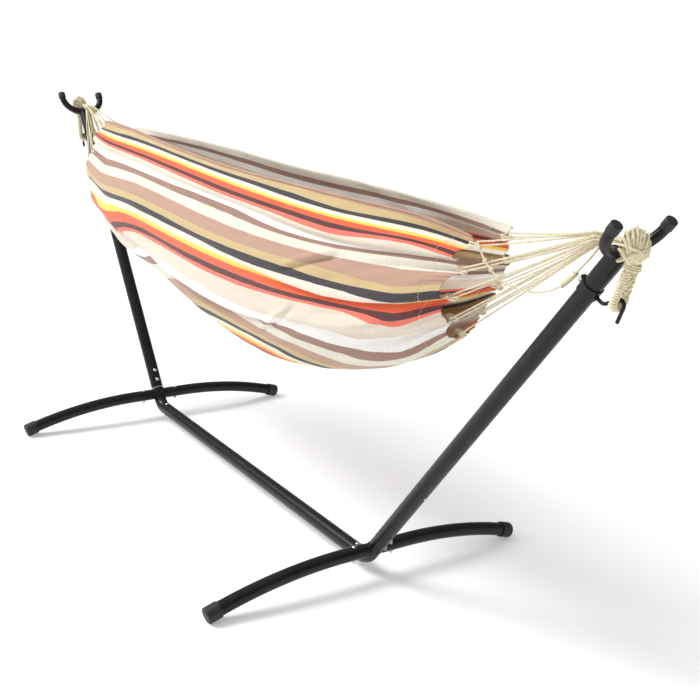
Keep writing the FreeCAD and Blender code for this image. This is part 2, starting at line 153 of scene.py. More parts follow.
def together(parts):
    """Several lots of points and faces as one."""
    points, faces, first = [], [], 0
    for part_points, part_faces in parts:
        points.append(part_points)
        faces.extend(tuple(first + i for i in face) for face in part_faces)
        first += len(part_points)
    return np.concatenate(points), faces


def twisted(line, diameter, strands=3, pitch=3.4, corners=5):
    """A rope: its strands wind round the line once in each pitch, which is in diameters."""
    line, along = stepped(np.asarray(line, float), diameter * pitch / 9)
    across, over = sides_of(line)
    strand_r = diameter / 2 * (0.5 if strands == 2 else 0.464)
    out = diameter / 2 - strand_r
    taper = np.ones(len(line))
    taper[0] = taper[-1] = 0.8
    parts = []
    for k in range(strands):
        turn = TURN * (along / (diameter * pitch) + k / strands)
        offset = across * np.cos(turn)[:, None] + over * np.sin(turn)[:, None]
        parts.append(tube(line + offset * out, strand_r * taper, corners))
    return together(parts)


def piece(name, points, faces, material, smooth=True):
    mesh = bpy.data.meshes.new(name)
    mesh.from_pydata([tuple(p) for p in points], [], faces)
    mesh.polygons.foreach_set("use_smooth", [smooth] * len(mesh.polygons))
    mesh.materials.append(material)
    mesh.update()
    made = bpy.data.objects.new(name, mesh)
    scene.collection.objects.link(made)
    return made


def route_line(points):
    """The line of a free cord: a smooth NURBS spline with these points as its control points."""
    curve = bpy.data.curves.new("route", "CURVE")
    curve.dimensions = "3D"
    curve.resolution_u = 16
    spline = curve.splines.new("NURBS")
    spline.points.add(len(points) - 1)
    for control, place in zip(spline.points, points):
        control.co = (*place, 1.0)
    spline.order_u = 3
    spline.use_endpoint_u = True
    holder = bpy.data.objects.new("route", curve)
    mesh = bpy.data.meshes.new_from_object(holder)
    line = np.array([v.co[:] for v in mesh.vertices])
    bpy.data.objects.remove(holder)
    bpy.data.meshes.remove(mesh)
    return line


# ---- materials ----
def paint(red, green, blue):
    """A colour as screens give it, 0 to 255, as the light that a shader takes."""
    return tuple(((c / 255 + 0.055) / 1.055) ** 2.4 for c in (red, green, blue)) + (1.0,)


class Finish:
    """A material with helpers for its nodes."""

    def __init__(self, name, **sockets):
        self.material = bpy.data.materials.new(name)
        self.material.use_nodes = True
        self.tree = self.material.node_tree
        self.shader = self.tree.nodes["Principled BSDF"]
        for socket, value in sockets.items():
            self.shader.inputs[socket.replace("_", " ")].default_value = value

    def node(self, kind, inputs=(), **settings):
        made = self.tree.nodes.new("ShaderNode" + kind)
        for key, value in settings.items():
            setattr(made, key, value)
        for key, value in dict(inputs).items():
            if isinstance(value, bpy.types.NodeSocket):
                self.tree.links.new(value, made.inputs[key])
            else:
                made.inputs[key].default_value = value
        return made

    def math(self, operation, a, b=0.0):
        return self.node("Math", {0: a, 1: b}, operation=operation).outputs[0]

    def place(self, scale=(1, 1, 1)):
        """The object's own coordinates in metres, stretched."""
        source = self.node("TexCoord").outputs["Object"]
        return self.node("Mapping", {"Vector": source, "Scale": scale}).outputs[0]

    def noise(self, scale, detail=3.0, rough=0.55, at=None):
        inputs = {"Scale": scale, "Detail": detail, "Roughness": rough}
        inputs["Vector"] = at if at is not None else self.place()
        return self.node("TexNoise", inputs).outputs["Fac"]

    def ramp(self, factor, stops, interpolation="LINEAR"):
        made = self.node("ValToRGB", {"Fac": factor})
        ramp = made.color_ramp
        ramp.interpolation = interpolation
        while len(ramp.elements) < len(stops):
            ramp.elements.new(1.0)
        for element, (place, colour) in zip(ramp.elements, stops):
            element.position = place
            element.color = colour
        return made.outputs["Color"]

    def ranged(self, value, low, high, source=(0.3, 0.7)):
        made = self.node("MapRange", {0: value, 1: source[0], 2: source[1], 3: low, 4: high})
        return made.outputs[0]

    def to_shader(self, socket, value):
        self.tree.links.new(value, self.shader.inputs[socket])

    def bump(self, height, strength, distance, under=None):
        inputs = {"Height": height, "Strength": strength, "Distance": distance}
        if under is not None:
            inputs["Normal"] = under
        made = self.node("Bump", inputs).outputs[0]
        self.to_shader("Normal", made)
        return made


def grey(level):
    return (level, level, level, 1.0)


def powder_coat():
    """Black powder coat: satin, with a fine orange peel and faint dust and rubs."""
    f = Finish("powder_coat")
    f.shader.inputs["Specular IOR Level"].default_value = 0.3
    dust = f.noise(26.0, 5.0, 0.65)
    rubs = f.noise(60.0, 4.0, 0.6, f.place((1.0, 3.0, 1.0)))
    f.to_shader("Base Color", f.ramp(dust, [(0.3, (0.0040, 0.0040, 0.0050, 1)),
                                            (0.75, (0.0105, 0.0100, 0.0115, 1))]))
    f.to_shader("Roughness", f.ranged(rubs, 0.26, 0.38))
    peel = f.bump(f.noise(620.0, 2.0), 0.22, 0.0005)
    f.bump(f.noise(2600.0, 2.0), 0.1, 0.0002, peel)
    return f.material


def weld_coat():
    """Powder coat over a weld: a little glossier, with spatter."""
    f = Finish("weld_coat")
    f.shader.inputs["Specular IOR Level"].default_value = 0.3
    spatter = f.noise(500.0, 4.0, 0.7)
    f.to_shader("Base Color", f.ramp(spatter, [(0.3, (0.0045, 0.0045, 0.0050, 1)),
                                               (0.8, (0.014, 0.0135, 0.0145, 1))]))
    f.to_shader("Roughness", f.ranged(spatter, 0.25, 0.45))
    f.bump(spatter, 0.5, 0.0006)
    return f.material


def bright_steel(name, tint, low, high, stretch):
    """Plated or drawn steel, with marks along its length and a cloudy tarnish."""
    f = Finish(name, Metallic=1.0)
    cloud = f.noise(90.0, 4.0, 0.6)
    marks = f.noise(700.0, 2.0, 0.5, f.place(stretch))
    dark = tuple(c * 0.62 for c in tint[:3]) + (1.0,)
    f.to_shader("Base Color", f.ramp(cloud, [(0.3, dark), (0.62, tint)]))
    f.to_shader("Roughness", f.ranged(marks, low, high))
    f.bump(marks, 0.25, 0.0002)
    return f.material


def cap_plastic():
    """Matt black moulded plastic with a fine leathery texture."""
    f = Finish("cap_plastic")
    grain = f.node("TexVoronoi", {"Vector": f.place(), "Scale": 900.0}).outputs["Distance"]
    scuffs = f.noise(45.0, 5.0, 0.7)
    f.to_shader("Base Color", f.ramp(scuffs, [(0.35, (0.009, 0.009, 0.01, 1)),
                                              (0.8, (0.028, 0.027, 0.027, 1))]))
    f.to_shader("Roughness", f.ranged(scuffs, 0.48, 0.68))
    f.bump(grain, 0.3, 0.0003)
    return f.material


def cotton(name, pale, mid, painted_shade):
    """Undyed cotton cord: soft fibres with a slight fuzz. Fibre and slub noise gives the yarn's uneven tone
    and spreads its colour from a painted shade to a painted highlight.
    """
    f = Finish(name, Roughness=0.92, Sheen_Weight=0.35, Sheen_Roughness=0.55)
    f.shader.inputs["Specular IOR Level"].default_value = 0.18
    fibres = f.noise(1500.0, 3.0, 0.6)
    slubs = f.noise(190.0, 4.0, 0.65)
    mixed = f.math("ADD", f.math("MULTIPLY", fibres, 0.45), f.math("MULTIPLY", slubs, 0.55))
    # painted light: the darkest stop is a painted shade and the palest a painted highlight, scattered by the
    # noise along with the yarn's own uneven tone
    f.to_shader("Base Color", f.ramp(mixed, [(0.34, painted_shade), (0.5, mid), (0.66, pale)]))
    under = f.bump(slubs, 0.35, 0.0012)
    f.bump(fibres, 0.4, 0.0005, under)
    return f.material


# One repeat of the cloth's stripes, from the near edge on: each stripe's share and its colour.
STRIPES = (
    ("tan", 0.075, paint(206, 182, 134)),
    ("charcoal", 0.070, paint(68, 64, 67)),
    ("cream", 0.080, paint(238, 231, 214)),
    ("yellow", 0.050, paint(250, 214, 92)),
    ("coral", 0.090, paint(238, 104, 70)),
    ("burgundy", 0.050, paint(96, 58, 58)),
    ("pink", 0.040, paint(240, 122, 104)),
    ("beige", 0.170, paint(229, 216, 198)),
    ("white", 0.080, paint(248, 245, 240)),
    ("mocha", 0.065, paint(160, 127, 113)),
    ("ivory", 0.100, paint(231, 226, 210)),
    ("rose_tan", 0.130, paint(190, 154, 134)),
)
THREAD = 0.0016          # the weave's pitch


def striped_cotton():
    """Yarn-dyed cotton: stripes along the cloth, with slubby yarns and a plain weave."""
    f = Finish("striped_cotton", Roughness=0.88, Sheen_Weight=0.2, Sheen_Roughness=0.5,
               Subsurface_Weight=0.35)
    f.shader.inputs["Specular IOR Level"].default_value = 0.2
    # the sheet is thin enough to let some light through
    f.shader.inputs["Subsurface Radius"].default_value = (1.0, 0.9, 0.8)
    f.shader.inputs["Subsurface Scale"].default_value = 0.003
    stripe = f.node("Attribute", attribute_name="stripe").outputs["Fac"]
    across = f.node("Attribute", attribute_name="across").outputs["Fac"]
    along = f.node("Attribute", attribute_name="along").outputs["Fac"]
    yarn_place = f.node("CombineXYZ", {0: f.math("MULTIPLY", along, 9.0),
                                       1: f.math("MULTIPLY", across, 620.0)}).outputs[0]
    weft_place = f.node("CombineXYZ", {0: f.math("MULTIPLY", along, 480.0),
                                       1: f.math("MULTIPLY", across, 7.0)}).outputs[0]
    yarn = f.noise(1.0, 2.0, 0.5, yarn_place)
    weft = f.noise(1.0, 2.0, 0.5, weft_place)
    ragged = f.math("ADD", stripe, f.math("MULTIPLY", f.math("SUBTRACT", yarn, 0.5), 0.012))
    stops, place = [], 0.0
    for _, share, colour in STRIPES:
        stops.append((place, colour))
        place += share
    dyed = f.ramp(f.math("FRACT", ragged), stops, "CONSTANT")
    faded = f.math("ADD", f.math("MULTIPLY", yarn, 0.5), f.math("MULTIPLY", weft, 0.5))
    tone = f.ramp(faded, [(0.32, grey(0.84)), (0.68, grey(1.04))])
    mixed = f.node("Mix", {"Factor": 1.0, 6: dyed, 7: tone}, data_type="RGBA", blend_type="MULTIPLY")
    f.to_shader("Base Color", mixed.outputs[2])
    warp_wave = f.math("SINE", f.math("MULTIPLY", across, TURN / THREAD))
    weft_wave = f.math("SINE", f.math("MULTIPLY", along, TURN / THREAD))
    under = f.bump(f.math("MULTIPLY", warp_wave, weft_wave), 0.25, 0.0003)
    f.bump(faded, 0.3, 0.0009, under)
    return f.material


def pale_floor():
    f = Finish("pale_floor")
    cloud = f.noise(1.3, 3.0)
    f.to_shader("Base Color", f.ramp(cloud, [(0.3, grey(0.86)), (0.7, grey(0.90))]))
    f.to_shader("Roughness", f.ranged(cloud, 0.6, 0.75))
    f.shader.inputs["Emission Color"].default_value = grey(1.0)
    f.shader.inputs["Emission Strength"].default_value = 0.27
    return f.material


POWDER = powder_coat()
WELD = weld_coat()
BARE = bright_steel("bare_steel", (0.72, 0.72, 0.73, 1), 0.2, 0.42, (1, 1, 6))
PLATED = bright_steel("plated_steel", (0.66, 0.67, 0.68, 1), 0.22, 0.4, (1, 1, 1))
SPRING = bright_steel("spring_steel", (0.5, 0.51, 0.54, 1), 0.24, 0.4, (5, 1, 1))
PLASTIC = cap_plastic()
# each cotton's colours: a painted highlight, its own mid tone and a painted shade
CORD_COTTON = cotton("cord_cotton", paint(250, 244, 222), paint(236, 225, 192), paint(196, 178, 132))
THREAD_COTTON = cotton("thread_cotton", paint(250, 247, 236), paint(240, 233, 214), paint(206, 194, 164))
CLOTH = striped_cotton()

# ---- the free cords come first: their routes, and what is made along them ----
SWING_Z = 1.051
CORD_D = 0.0045
FAN_PLACES = 9
FIRST_SHARE, LAST_SHARE = 0.025, 0.975
FAN_FROM_X = 1.331
FAN_SAG = 0.005
INTO_BED = 0.002

# The bed's cross lines: middle X, near rim y z, near bulge y, lowest y z, far bulge y, far rim y z.
STATIONS = (
    (-1.030, -.048, 1.022, -.122, -.026, .656, .082, .042, 1.000),
    (-.860, -.068, 1.032, -.140, -.024, .590, .102, .056, 1.010),
    (-.620, -.080, 1.026, -.148, -.022, .562, .118, .070, 1.014),
    (-.320, -.088, 1.012, -.150, -.020, .510, .128, .078, 1.012),
    (0.0, -.092, 1.003, -.150, -.020, .474, .132, .082, 1.008),
    (.320, -.088, 1.005, -.148, -.020, .491, .128, .078, 1.012),
    (.620, -.078, 1.009, -.134, -.018, .557, .114, .068, 1.016),
    (.860, -.062, 1.007, -.106, -.014, .652, .088, .052, 1.016),
    (.998, -.050, .992, -.076, -.010, .752, .062, .040, 1.006),
)
RIGHT_LEAN = 0.33
LEVELS = (0.0, 0.22, 0.5, 0.8)
BULGE = (0.0, 0.72, 1.0, 0.8)
LEFT_END, RIGHT_END = STATIONS[0][0], STATIONS[-1][0]


def cross_line(station, shares):
    """Points across the bed at a station, by their share of the way from near to far rim."""
    mid_x, near_y, near_z, bulge_n, low_y, low_z, bulge_f, far_y, far_z = station
    lean = RIGHT_LEAN * max(0.0, mid_x / RIGHT_END) ** 2
    half_z = (near_z + low_z) / 2
    near, far = [], []
    for level, part in zip(LEVELS, BULGE):
        for side, rim_y, rim_z, bulge in ((near, near_y, near_z, bulge_n), (far, far_y, far_z, bulge_f)):
            rim = rim_y + (bulge - rim_y) * part
            side.append((rim + (low_y - rim) * max(0.0, level - 0.5) * 0.9,
                         rim_z + (low_z - rim_z) * level))
    flat = np.array(near + [(low_y, low_z)] + far[::-1])
    points = np.stack([mid_x + lean * (flat[:, 1] - half_z), flat[:, 0], flat[:, 1]], axis=1)
    along = lengths_along(points)
    fine = smooth_through(along, points, np.linspace(0, along[-1], 500))
    return at_lengths(fine, np.asarray(shares) * lengths_along(fine)[-1])


def fan_share(place):
    return FIRST_SHARE + (LAST_SHARE - FIRST_SHARE) * place / (FAN_PLACES - 1)


def fan_routes(side):
    """Each fan cord's three points, from the bed's end edge to the bundle, side 1 right, -1 left."""
    station = STATIONS[-1 if side > 0 else 0]
    routes = []
    for place in range(FAN_PLACES):
        mid_turn = 155 + 230 * place / (FAN_PLACES - 1)
        for ring_r, shift in ((0.0164, -0.010), (0.0099, 0.010)):
            share = min(max(fan_share(place) + shift, 0.008), 0.992)
            start = cross_line(station, [share])[0] - np.array([side * INTO_BED, 0, 0])
            turn = math.radians(mid_turn + 800 * shift)
            end = np.array([side * FAN_FROM_X, ring_r * math.cos(turn), SWING_Z + ring_r * math.sin(turn)])
            middle = (start + end) / 2 - np.array([0, 0, FAN_SAG])
            routes.append((start, middle, end))
    return routes


def fan_cords(side, word):
    """The cords from the bed's end edge to the bundle; gives back where each one ends there."""
    ends = []
    for number, route in enumerate(fan_routes(side)):
        line = route_line(route)
        cord = piece(f"fan_cord_{word}_{number + 1:02d}", *twisted(line, CORD_D, 3, 3.6), CORD_COTTON)
        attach(cord, "hammock")
        if number == 0:
            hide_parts("fan_cords_" + word)
        ends.append(line[-1])
    return ends


fan_ends = {1: fan_cords(1, "right"), -1: fan_cords(-1, "left")}

# The thin tie cord at the right end: down from the bed's near corner, along below the fan cords,
# past the arm's inner side and up to the bundle.
LANYARD = ((1.051, -.058, .983), (1.076, -.066, .963), (1.106, -.069, .943), (1.136, -.067, .926),
           (1.169, -.060, .917), (1.200, -.050, .913), (1.229, -.038, .917), (1.252, -.027, .927),
           (1.270, -.018, .943), (1.286, -.011, .963), (1.304, -.007, .986), (1.324, -.004, 1.011),
           (1.342, -.001, 1.040))


def knot(centre, direction, size, thick):
    """An overhand knot pulled small: a closed trefoil about a direction."""
    t = np.linspace(0, TURN, 48, endpoint=False)
    trefoil = (np.sin(t) + 2 * np.sin(2 * t), np.cos(t) - 2 * np.cos(2 * t), -1.5 * np.sin(3 * t))
    flat = np.stack(trefoil, axis=1)
    across, over = sides_of(np.array([centre - direction, centre, centre + direction]))
    base = np.stack([across[1], over[1], unit(direction)])
    return tube(centre + flat @ base * (size / 3), thick, 6, closed=True)


def winding(line, out, thick, pitch, corners=6):
    """A cord wound round a line, out from it to the cord's middle."""
    whole = lengths_along(np.asarray(line))[-1]
    steps = max(8, int(whole / pitch * 14))
    at = np.linspace(0, whole, steps)
    centre = at_lengths(np.asarray(line), at)
    across, over = sides_of(centre)
    turn = TURN * at / pitch
    coil = centre + (across * np.cos(turn)[:, None] + over * np.sin(turn)[:, None]) * np.reshape(out, (-1, 1))
    return tube(coil, thick, corners)


def between(line, low, high, step=0.002):
    """The stretch of a line between two of its lengths."""
    return at_lengths(line, np.arange(low, high, step))


lanyard_line = route_line(LANYARD)
lanyard = piece("tie_cord", *twisted(lanyard_line, CORD_D, 3, 3.4), CORD_COTTON)
KNOTS_AT = (0.010, 0.047, 0.074, 0.098)
SLIDE_KNOT = (0.248, 0.292)
lanyard_whole = lengths_along(lanyard_line)[-1]


def lanyard_fittings():
    """Small knots near the bed, and near the saddle a slide knot and the cord's doubled end."""
    parts = []
    for at in KNOTS_AT:
        low, here, high = at_lengths(lanyard_line, [at - 0.002, at, at + 0.002])
        parts.append(knot(here, unit(high - low), 0.0042, 0.0019))
    parts.append(winding(between(lanyard_line, *SLIDE_KNOT), 0.0044, 0.0021, 0.0044))
    doubled = between(lanyard_line, SLIDE_KNOT[0] - 0.012, lanyard_whole - 0.004)
    across, _ = sides_of(doubled)
    turn_out = np.minimum(1, np.arange(len(doubled)) / 8)[:, None]
    parts.append(twisted(doubled + across * 0.0046 * (0.6 + 0.4 * turn_out), 0.0043, 3, 3.4))
    return together(parts)


knots = piece("tie_cord_knots", *lanyard_fittings(), CORD_COTTON)
for part in (lanyard, knots):
    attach(part, "hammock")
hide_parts("lanyard")

# ---- the cloth bed ----
REPEATS = 4.91           # stripe repeats from rim to rim
FIRST_STRIPE = 0.95      # the stripe number at the near rim
FLAT_WIDE, FLAT_LONG = 1.30, 2.10
CLOTH_THICK = 0.0014
HEM = 0.062              # the doubled hem at each end
ROLL_R = 0.0022          # the rolled long edges
PLEATS_LEFT, PLEATS_RIGHT = -0.90, 0.87    # the grid is finer beyond these X
END_ROWS, MIDDLE_ROWS, COLUMNS = 46, 260, 231


def bump_at(value, centre, wide):
    return np.exp(-((value - centre) / wide) ** 2)


def ramp_up(value, low, high):
    t = np.clip((value - low) / (high - low), 0, 1)
    return t * t * (3 - 2 * t)


# Stripe numbers count repeats from before the near rim. The cloth is drawn in unevenly, so they are
# given at these X and at these shares of the way from the near rim to the far one.
STRIPE_X = (-0.85, -0.30, 0.18, 0.58, 0.845)
STRIPE_SHARES = (0, .03, .06, .09, .12, .16, .20, .24, .28, .33, .38, .43, .50, 1.0)
STRIPE_AT = (
    (.95, 1.08, 1.28, 1.53, 1.68, 1.79, 1.94, 2.08, 2.20, 2.31, 2.38, 2.51, 2.80, 5.86),
    (.95, 1.22, 1.43, 1.68, 1.80, 1.96, 2.12, 2.29, 2.44, 2.61, 2.86, 3.00, 3.25, 5.86),
    (.97, 1.18, 1.42, 1.68, 1.81, 1.97, 2.16, 2.36, 2.50, 2.65, 2.92, 3.22, 3.50, 5.86),
    (.97, 1.08, 1.32, 1.50, 1.76, 1.95, 2.07, 2.27, 2.48, 2.62, 2.70, 2.84, 3.10, 5.86),
    (.95, 1.12, 1.30, 1.60, 1.78, 1.89, 1.99, 2.18, 2.36, 2.47, 2.63, 2.72, 2.95, 5.86),
)

# Long folds where the cloth tucks under itself: at these X, the share across and the depth. Their
# width is a share too.
TUCKS = (
    {"x": (-1.03, -.85, -.3, .2, .6, 1.0), "share": (.100, .092, .076, .074, .094, .084),
     "depth": (.005, .006, .007, .008, .011, .013), "wide": .015},
    {"x": (-1.03, -.6, -.2, .3, .6, 1.0), "share": (.180, .180, .190, .215, .237, .238),
     "depth": (.000, .001, .002, .006, .012, .014), "wide": .015},
    {"x": (-1.03, -.7, -.3, .2, .5, 1.0), "share": (.390, .375, .364, .345, .340, .340),
     "depth": (.004, .014, .020, .008, .001, .000), "wide": .017},
    {"x": (-1.03, -.6, -.2, .2, .6, 1.0), "share": (.300, .300, .310, .320, .330, .372),
     "depth": (.003, .001, .000, .002, .005, .008), "wide": .014},
    {"x": (-1.03, -.6, -.2, .2, .6, 1.0), "share": (.700, .705, .710, .705, .700, .700),
     "depth": (.010, .008, .006, .005, .008, .011), "wide": .018},
    {"x": (-1.03, -.6, -.2, .2, .6, 1.0), "share": (.865, .860, .860, .865, .870, .872),
     "depth": (.011, .008, .004, .004, .006, .010), "wide": .016},
)

# Slanting creases: from one X and share to another, and the depth.
CREASES = (
    ((.385, .200), (.620, .136), .0105),
    ((.210, .390), (.460, .280), .0065),
    ((-.620, .200), (-.430, .160), .0025),
    ((.640, .330), (.900, .300), .0030),
)


def crease_height(x, share):
    """A sharp groove beside a raised lip along each slanting crease."""
    total = np.zeros(np.broadcast(x, share).shape)
    for first, last, depth in CREASES:
        a = np.array([first[0], first[1] * FLAT_WIDE])
        b = np.array([last[0], last[1] * FLAT_WIDE])
        ahead = (b - a) / np.linalg.norm(b - a)
        dx, dy = x - a[0], share * FLAT_WIDE - a[1]
        t = (dx * ahead[0] + dy * ahead[1]) / np.linalg.norm(b - a)
        aside = dy * ahead[0] - dx * ahead[1]
        fading = ramp_up(t, 0, 0.25) * (1 - ramp_up(t, 0.8, 1.0))
        total += depth * fading * (0.8 * bump_at(aside, -0.012, 0.013) - bump_at(aside, 0.002, 0.008))
    return total


def stripes_at(rows, shares):
    """The stripe number at each point, smooth along the cloth."""
    along = smooth_through(np.array(STRIPE_X), np.array(STRIPE_AT), np.clip(rows, -0.85, 0.845))
    return np.array([np.interp(shares, STRIPE_SHARES, row) for row in along])


def waves(x, share, count, wave_x, wave_share, seed):
    """Soft irregular waves: a sum of sines in random directions."""
    source = np.random.RandomState(seed)
    total = np.zeros(np.broadcast(x, share).shape)
    for _ in range(count):
        a, b = source.uniform(0.5, 1.6, 2)
        lean = source.uniform(-1, 1)
        total += np.sin(TURN * (x * a / wave_x + (share + lean * x * 0.12) * b / wave_share)
                        + source.uniform(0, TURN))
    return total / math.sqrt(count)


def bed_grid():
    """The bed's points row by row, with the cloth's own coordinates at each."""
    rows = np.concatenate([np.linspace(LEFT_END, PLEATS_LEFT, END_ROWS),
                           np.linspace(PLEATS_LEFT, PLEATS_RIGHT, MIDDLE_ROWS)[1:-1],
                           np.linspace(PLEATS_RIGHT, RIGHT_END, END_ROWS)])
    shares = np.linspace(0.0, 1.0, COLUMNS)
    mids = np.array([s[0] for s in STATIONS])
    lines = np.array([cross_line(s, shares) for s in STATIONS])
    base = smooth_through(mids, lines.reshape(len(mids), -1), rows).reshape(len(rows), len(shares), 3)
    x = rows[:, None]
    share = shares[None, :]
    centre = base.mean(axis=1, keepdims=True)
    down_row = unit(np.gradient(base, axis=1))
    out = unit(np.cross(down_row, unit(np.gradient(base, axis=0))))
    if np.mean(np.sum(out * (base - centre), axis=2)) < 0:
        out = -out
    end = np.where(x < 0, x / LEFT_END, x / RIGHT_END)
    phase = (share - FIRST_SHARE) / (LAST_SHARE - FIRST_SHARE) * (FAN_PLACES - 1)
    lobes = np.abs(np.sin(math.pi * phase))
    # the cloth is drawn in at each cord and swells between cords, most of all at its ends
    gathered = ramp_up(end, 0.30, 1.0) ** 1.6
    sharp = ramp_up(end, 0.6, 1.0)
    base_depth = 0.0015 + 0.0165 * gathered
    depth = base_depth + 0.0055 * gathered * sharp
    soft = 0.5 - 0.5 * np.cos(TURN * phase)
    moved = depth * ((1 - sharp) * soft + sharp * lobes ** 0.75) - 0.45 * base_depth
    # fine pleats close to the cords
    close = np.abs(phase - np.round(phase))
    pleats = np.cos(TURN * phase * 6 + 1.3 * np.sin(TURN * phase * 1.7))
    moved = moved + 0.0032 * pleats * ramp_up(end, 0.86, 1.0) * np.exp(-(close / 0.42) ** 2)
    # irregular soft waves, longer in the cloth's length than across it
    moved = moved + 0.0022 * waves(x, share, 9, 0.95, 0.20, 5) * (0.6 + 0.9 * end)
    moved = moved + 0.0010 * waves(x, share, 9, 0.34, 0.07, 8) * (0.5 + 1.3 * end)
    slid = np.zeros_like(moved)
    for tuck in TUCKS:
        places = np.array(tuck["x"])
        at = smooth_through(places, np.array(tuck["share"])[:, None], rows)
        deep = np.interp(rows, places, tuck["depth"])[:, None]
        off = (share - at) / tuck["wide"]
        moved = moved + deep * (0.75 * bump_at(off, -0.9, 1.0) - 1.0 * bump_at(off, 0.55, 0.75))
        slid = slid + deep * 1.1 * bump_at(off, -0.45, 0.6)
    moved = moved + crease_height(x, share)
    # the ends: scalloped between the cords, and a doubled hem with a stitched groove
    to_end = np.minimum(x - LEFT_END, RIGHT_END - x)
    moved = moved + 0.0009 * (1 - ramp_up(to_end, HEM - 0.003, HEM + 0.001))
    moved = moved - 0.0012 * bump_at(to_end, HEM + 0.002, 0.0022)
    points = base + out * moved[..., None] + down_row * slid[..., None]
    pull = ramp_up(end, 0.86, 1.0)[..., None] * (0.005 - 0.024 * lobes[..., None] ** 1.4)
    points[..., 0:1] += np.sign(x)[..., None] * pull
    stripe = stripes_at(rows, shares)
    return rows, shares, points, out, stripe


def with_rolled_edges(points, out, stripe):
    """Adds a small outward roll beyond each rim."""
    turns = np.linspace(0, 1.5 * math.pi, 7)[1:]
    sides = []
    for edge, inner in ((0, 1), (-1, -2)):
        up = unit(points[:, edge] - points[:, inner])
        roll = [points[:, edge] + out[:, edge] * ROLL_R * (1 - math.cos(t)) + up * ROLL_R * math.sin(t)
                for t in turns]
        sides.append((np.stack(roll, axis=1), np.repeat(stripe[:, edge][:, None], len(turns), axis=1)))
    (near, near_stripe), (far, far_stripe) = sides
    return (np.concatenate([near[:, ::-1], points, far], axis=1),
            np.concatenate([near_stripe, stripe, far_stripe], axis=1))


def sheet_faces(rows, columns):
    """Four-cornered faces over a grid of points."""
    faces = []
    for i in range(rows - 1):
        for j in range(columns - 1):
            a = i * columns + j
            faces.append((a, a + 1, a + columns + 1, a + columns))
    return faces


def set_attribute(mesh, name, values):
    made = mesh.attributes.new(name, "FLOAT", "POINT")
    made.data.foreach_set("value", np.asarray(values, np.float32).ravel())


def apply_modifiers(obj):
    graph = bpy.context.evaluated_depsgraph_get()
    mesh = bpy.data.meshes.new_from_object(obj.evaluated_get(graph))
    obj.modifiers.clear()
    obj.data = mesh


rows, shares, bed_points, bed_out, bed_stripe = bed_grid()
rolled, rolled_stripe = with_rolled_edges(bed_points, bed_out, bed_stripe)
bed = piece("bed", rolled.reshape(-1, 3), sheet_faces(*rolled.shape[:2]), CLOTH)
set_attribute(bed.data, "stripe", rolled_stripe)
set_attribute(bed.data, "across", (rolled_stripe - FIRST_STRIPE) / REPEATS * FLAT_WIDE)
set_attribute(bed.data, "along", np.broadcast_to(rows[:, None] / RIGHT_END * FLAT_LONG / 2,
                                                 rolled_stripe.shape))
thickness = bed.modifiers.new("thickness", "SOLIDIFY")
thickness.thickness = CLOTH_THICK
thickness.offset = 0.0
apply_modifiers(bed)


def stitches(line, out, along_gap=0.0065, long=0.0042, thick=0.0006):
    """A row of raised thread stitches along a line that lies in the cloth."""
    whole = lengths_along(line)[-1]
    parts = []
    for at in np.arange(0.01, whole - 0.01, along_gap):
        ends = at_lengths(line, [at, at + long / 2, at + long])
        lift = at_lengths(out, [at / whole * lengths_along(out)[-1]])[0]
        raised = ends + unit(lift) * np.array([[0.0004], [0.0012], [0.0004]])
        parts.append(tube(raised, np.array([0.7, 1.0, 0.7]) * thick, 5))
    return together(parts)


def hem_rows():
    """Both faces of both hems are stitched."""
    parts = []
    for hem_x in (LEFT_END + HEM + 0.002, RIGHT_END - HEM - 0.002):
        row = int(np.argmin(np.abs(rows - hem_x)))
        for face in (1, -1):
            line = bed_points[row] + bed_out[row] * face * 0.0004
            parts.append(stitches(line, bed_out[row] * face))
    return together(parts)


hem_thread = piece("hem_stitches", *hem_rows(), THREAD_COTTON)


TIE_APART = 0.0028
TIE_HALF_LONG, TIE_HALF_DEEP = 0.013, 0.0055
TIE_R = 0.0020


def hem_ties(side):
    """Where each pair of fan cords goes through the hem and is knotted."""
    parts = []
    row = -1 if side > 0 else 0
    for place in range(FAN_PLACES):
        column = int(round(fan_share(place) * (len(shares) - 1)))
        edge = bed_points[row, column]
        normal = bed_out[row, column]
        away = np.array([side, 0.0, 0.0])
        t = np.linspace(0, TURN, 26, endpoint=False)
        for shift in (-TIE_APART, TIE_APART):
            slide = unit(np.cross(away, normal)) * shift
            loop = (edge - away * 0.006 + slide + np.outer(np.cos(t) * TIE_HALF_LONG, away)
                    + np.outer(np.sin(t) * TIE_HALF_DEEP, normal))
            parts.append(tube(loop, TIE_R, 7, closed=True))
        parts.append(knot(edge + away * 0.0085, away, 0.0058, 0.0021))
    return together(parts)


ties = {}
for side, word in ((1, "right"), (-1, "left")):
    ties[side] = piece("hem_ties_" + word, *hem_ties(side), CORD_COTTON)
    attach(ties[side], "hammock")

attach(bed, "hammock")
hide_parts("bed_fabric")
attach(hem_thread, "hammock")

# ---- the bundle over each saddle ----
SADDLE_X = 1.3876
KNOT_X = 1.408
PACKED_R = 0.0066
# Along a bundle: X, how far the cords are gathered, and their twist.
BUNDLE_STEPS = ((FAN_FROM_X - 0.004, 0.0, 0.0), (1.338, 0.10, 0.0), (1.349, 0.55, 0.2),
                (1.363, 1.0, 0.5), (SADDLE_X, 1.0, 1.0), (KNOT_X, 1.0, 1.5))


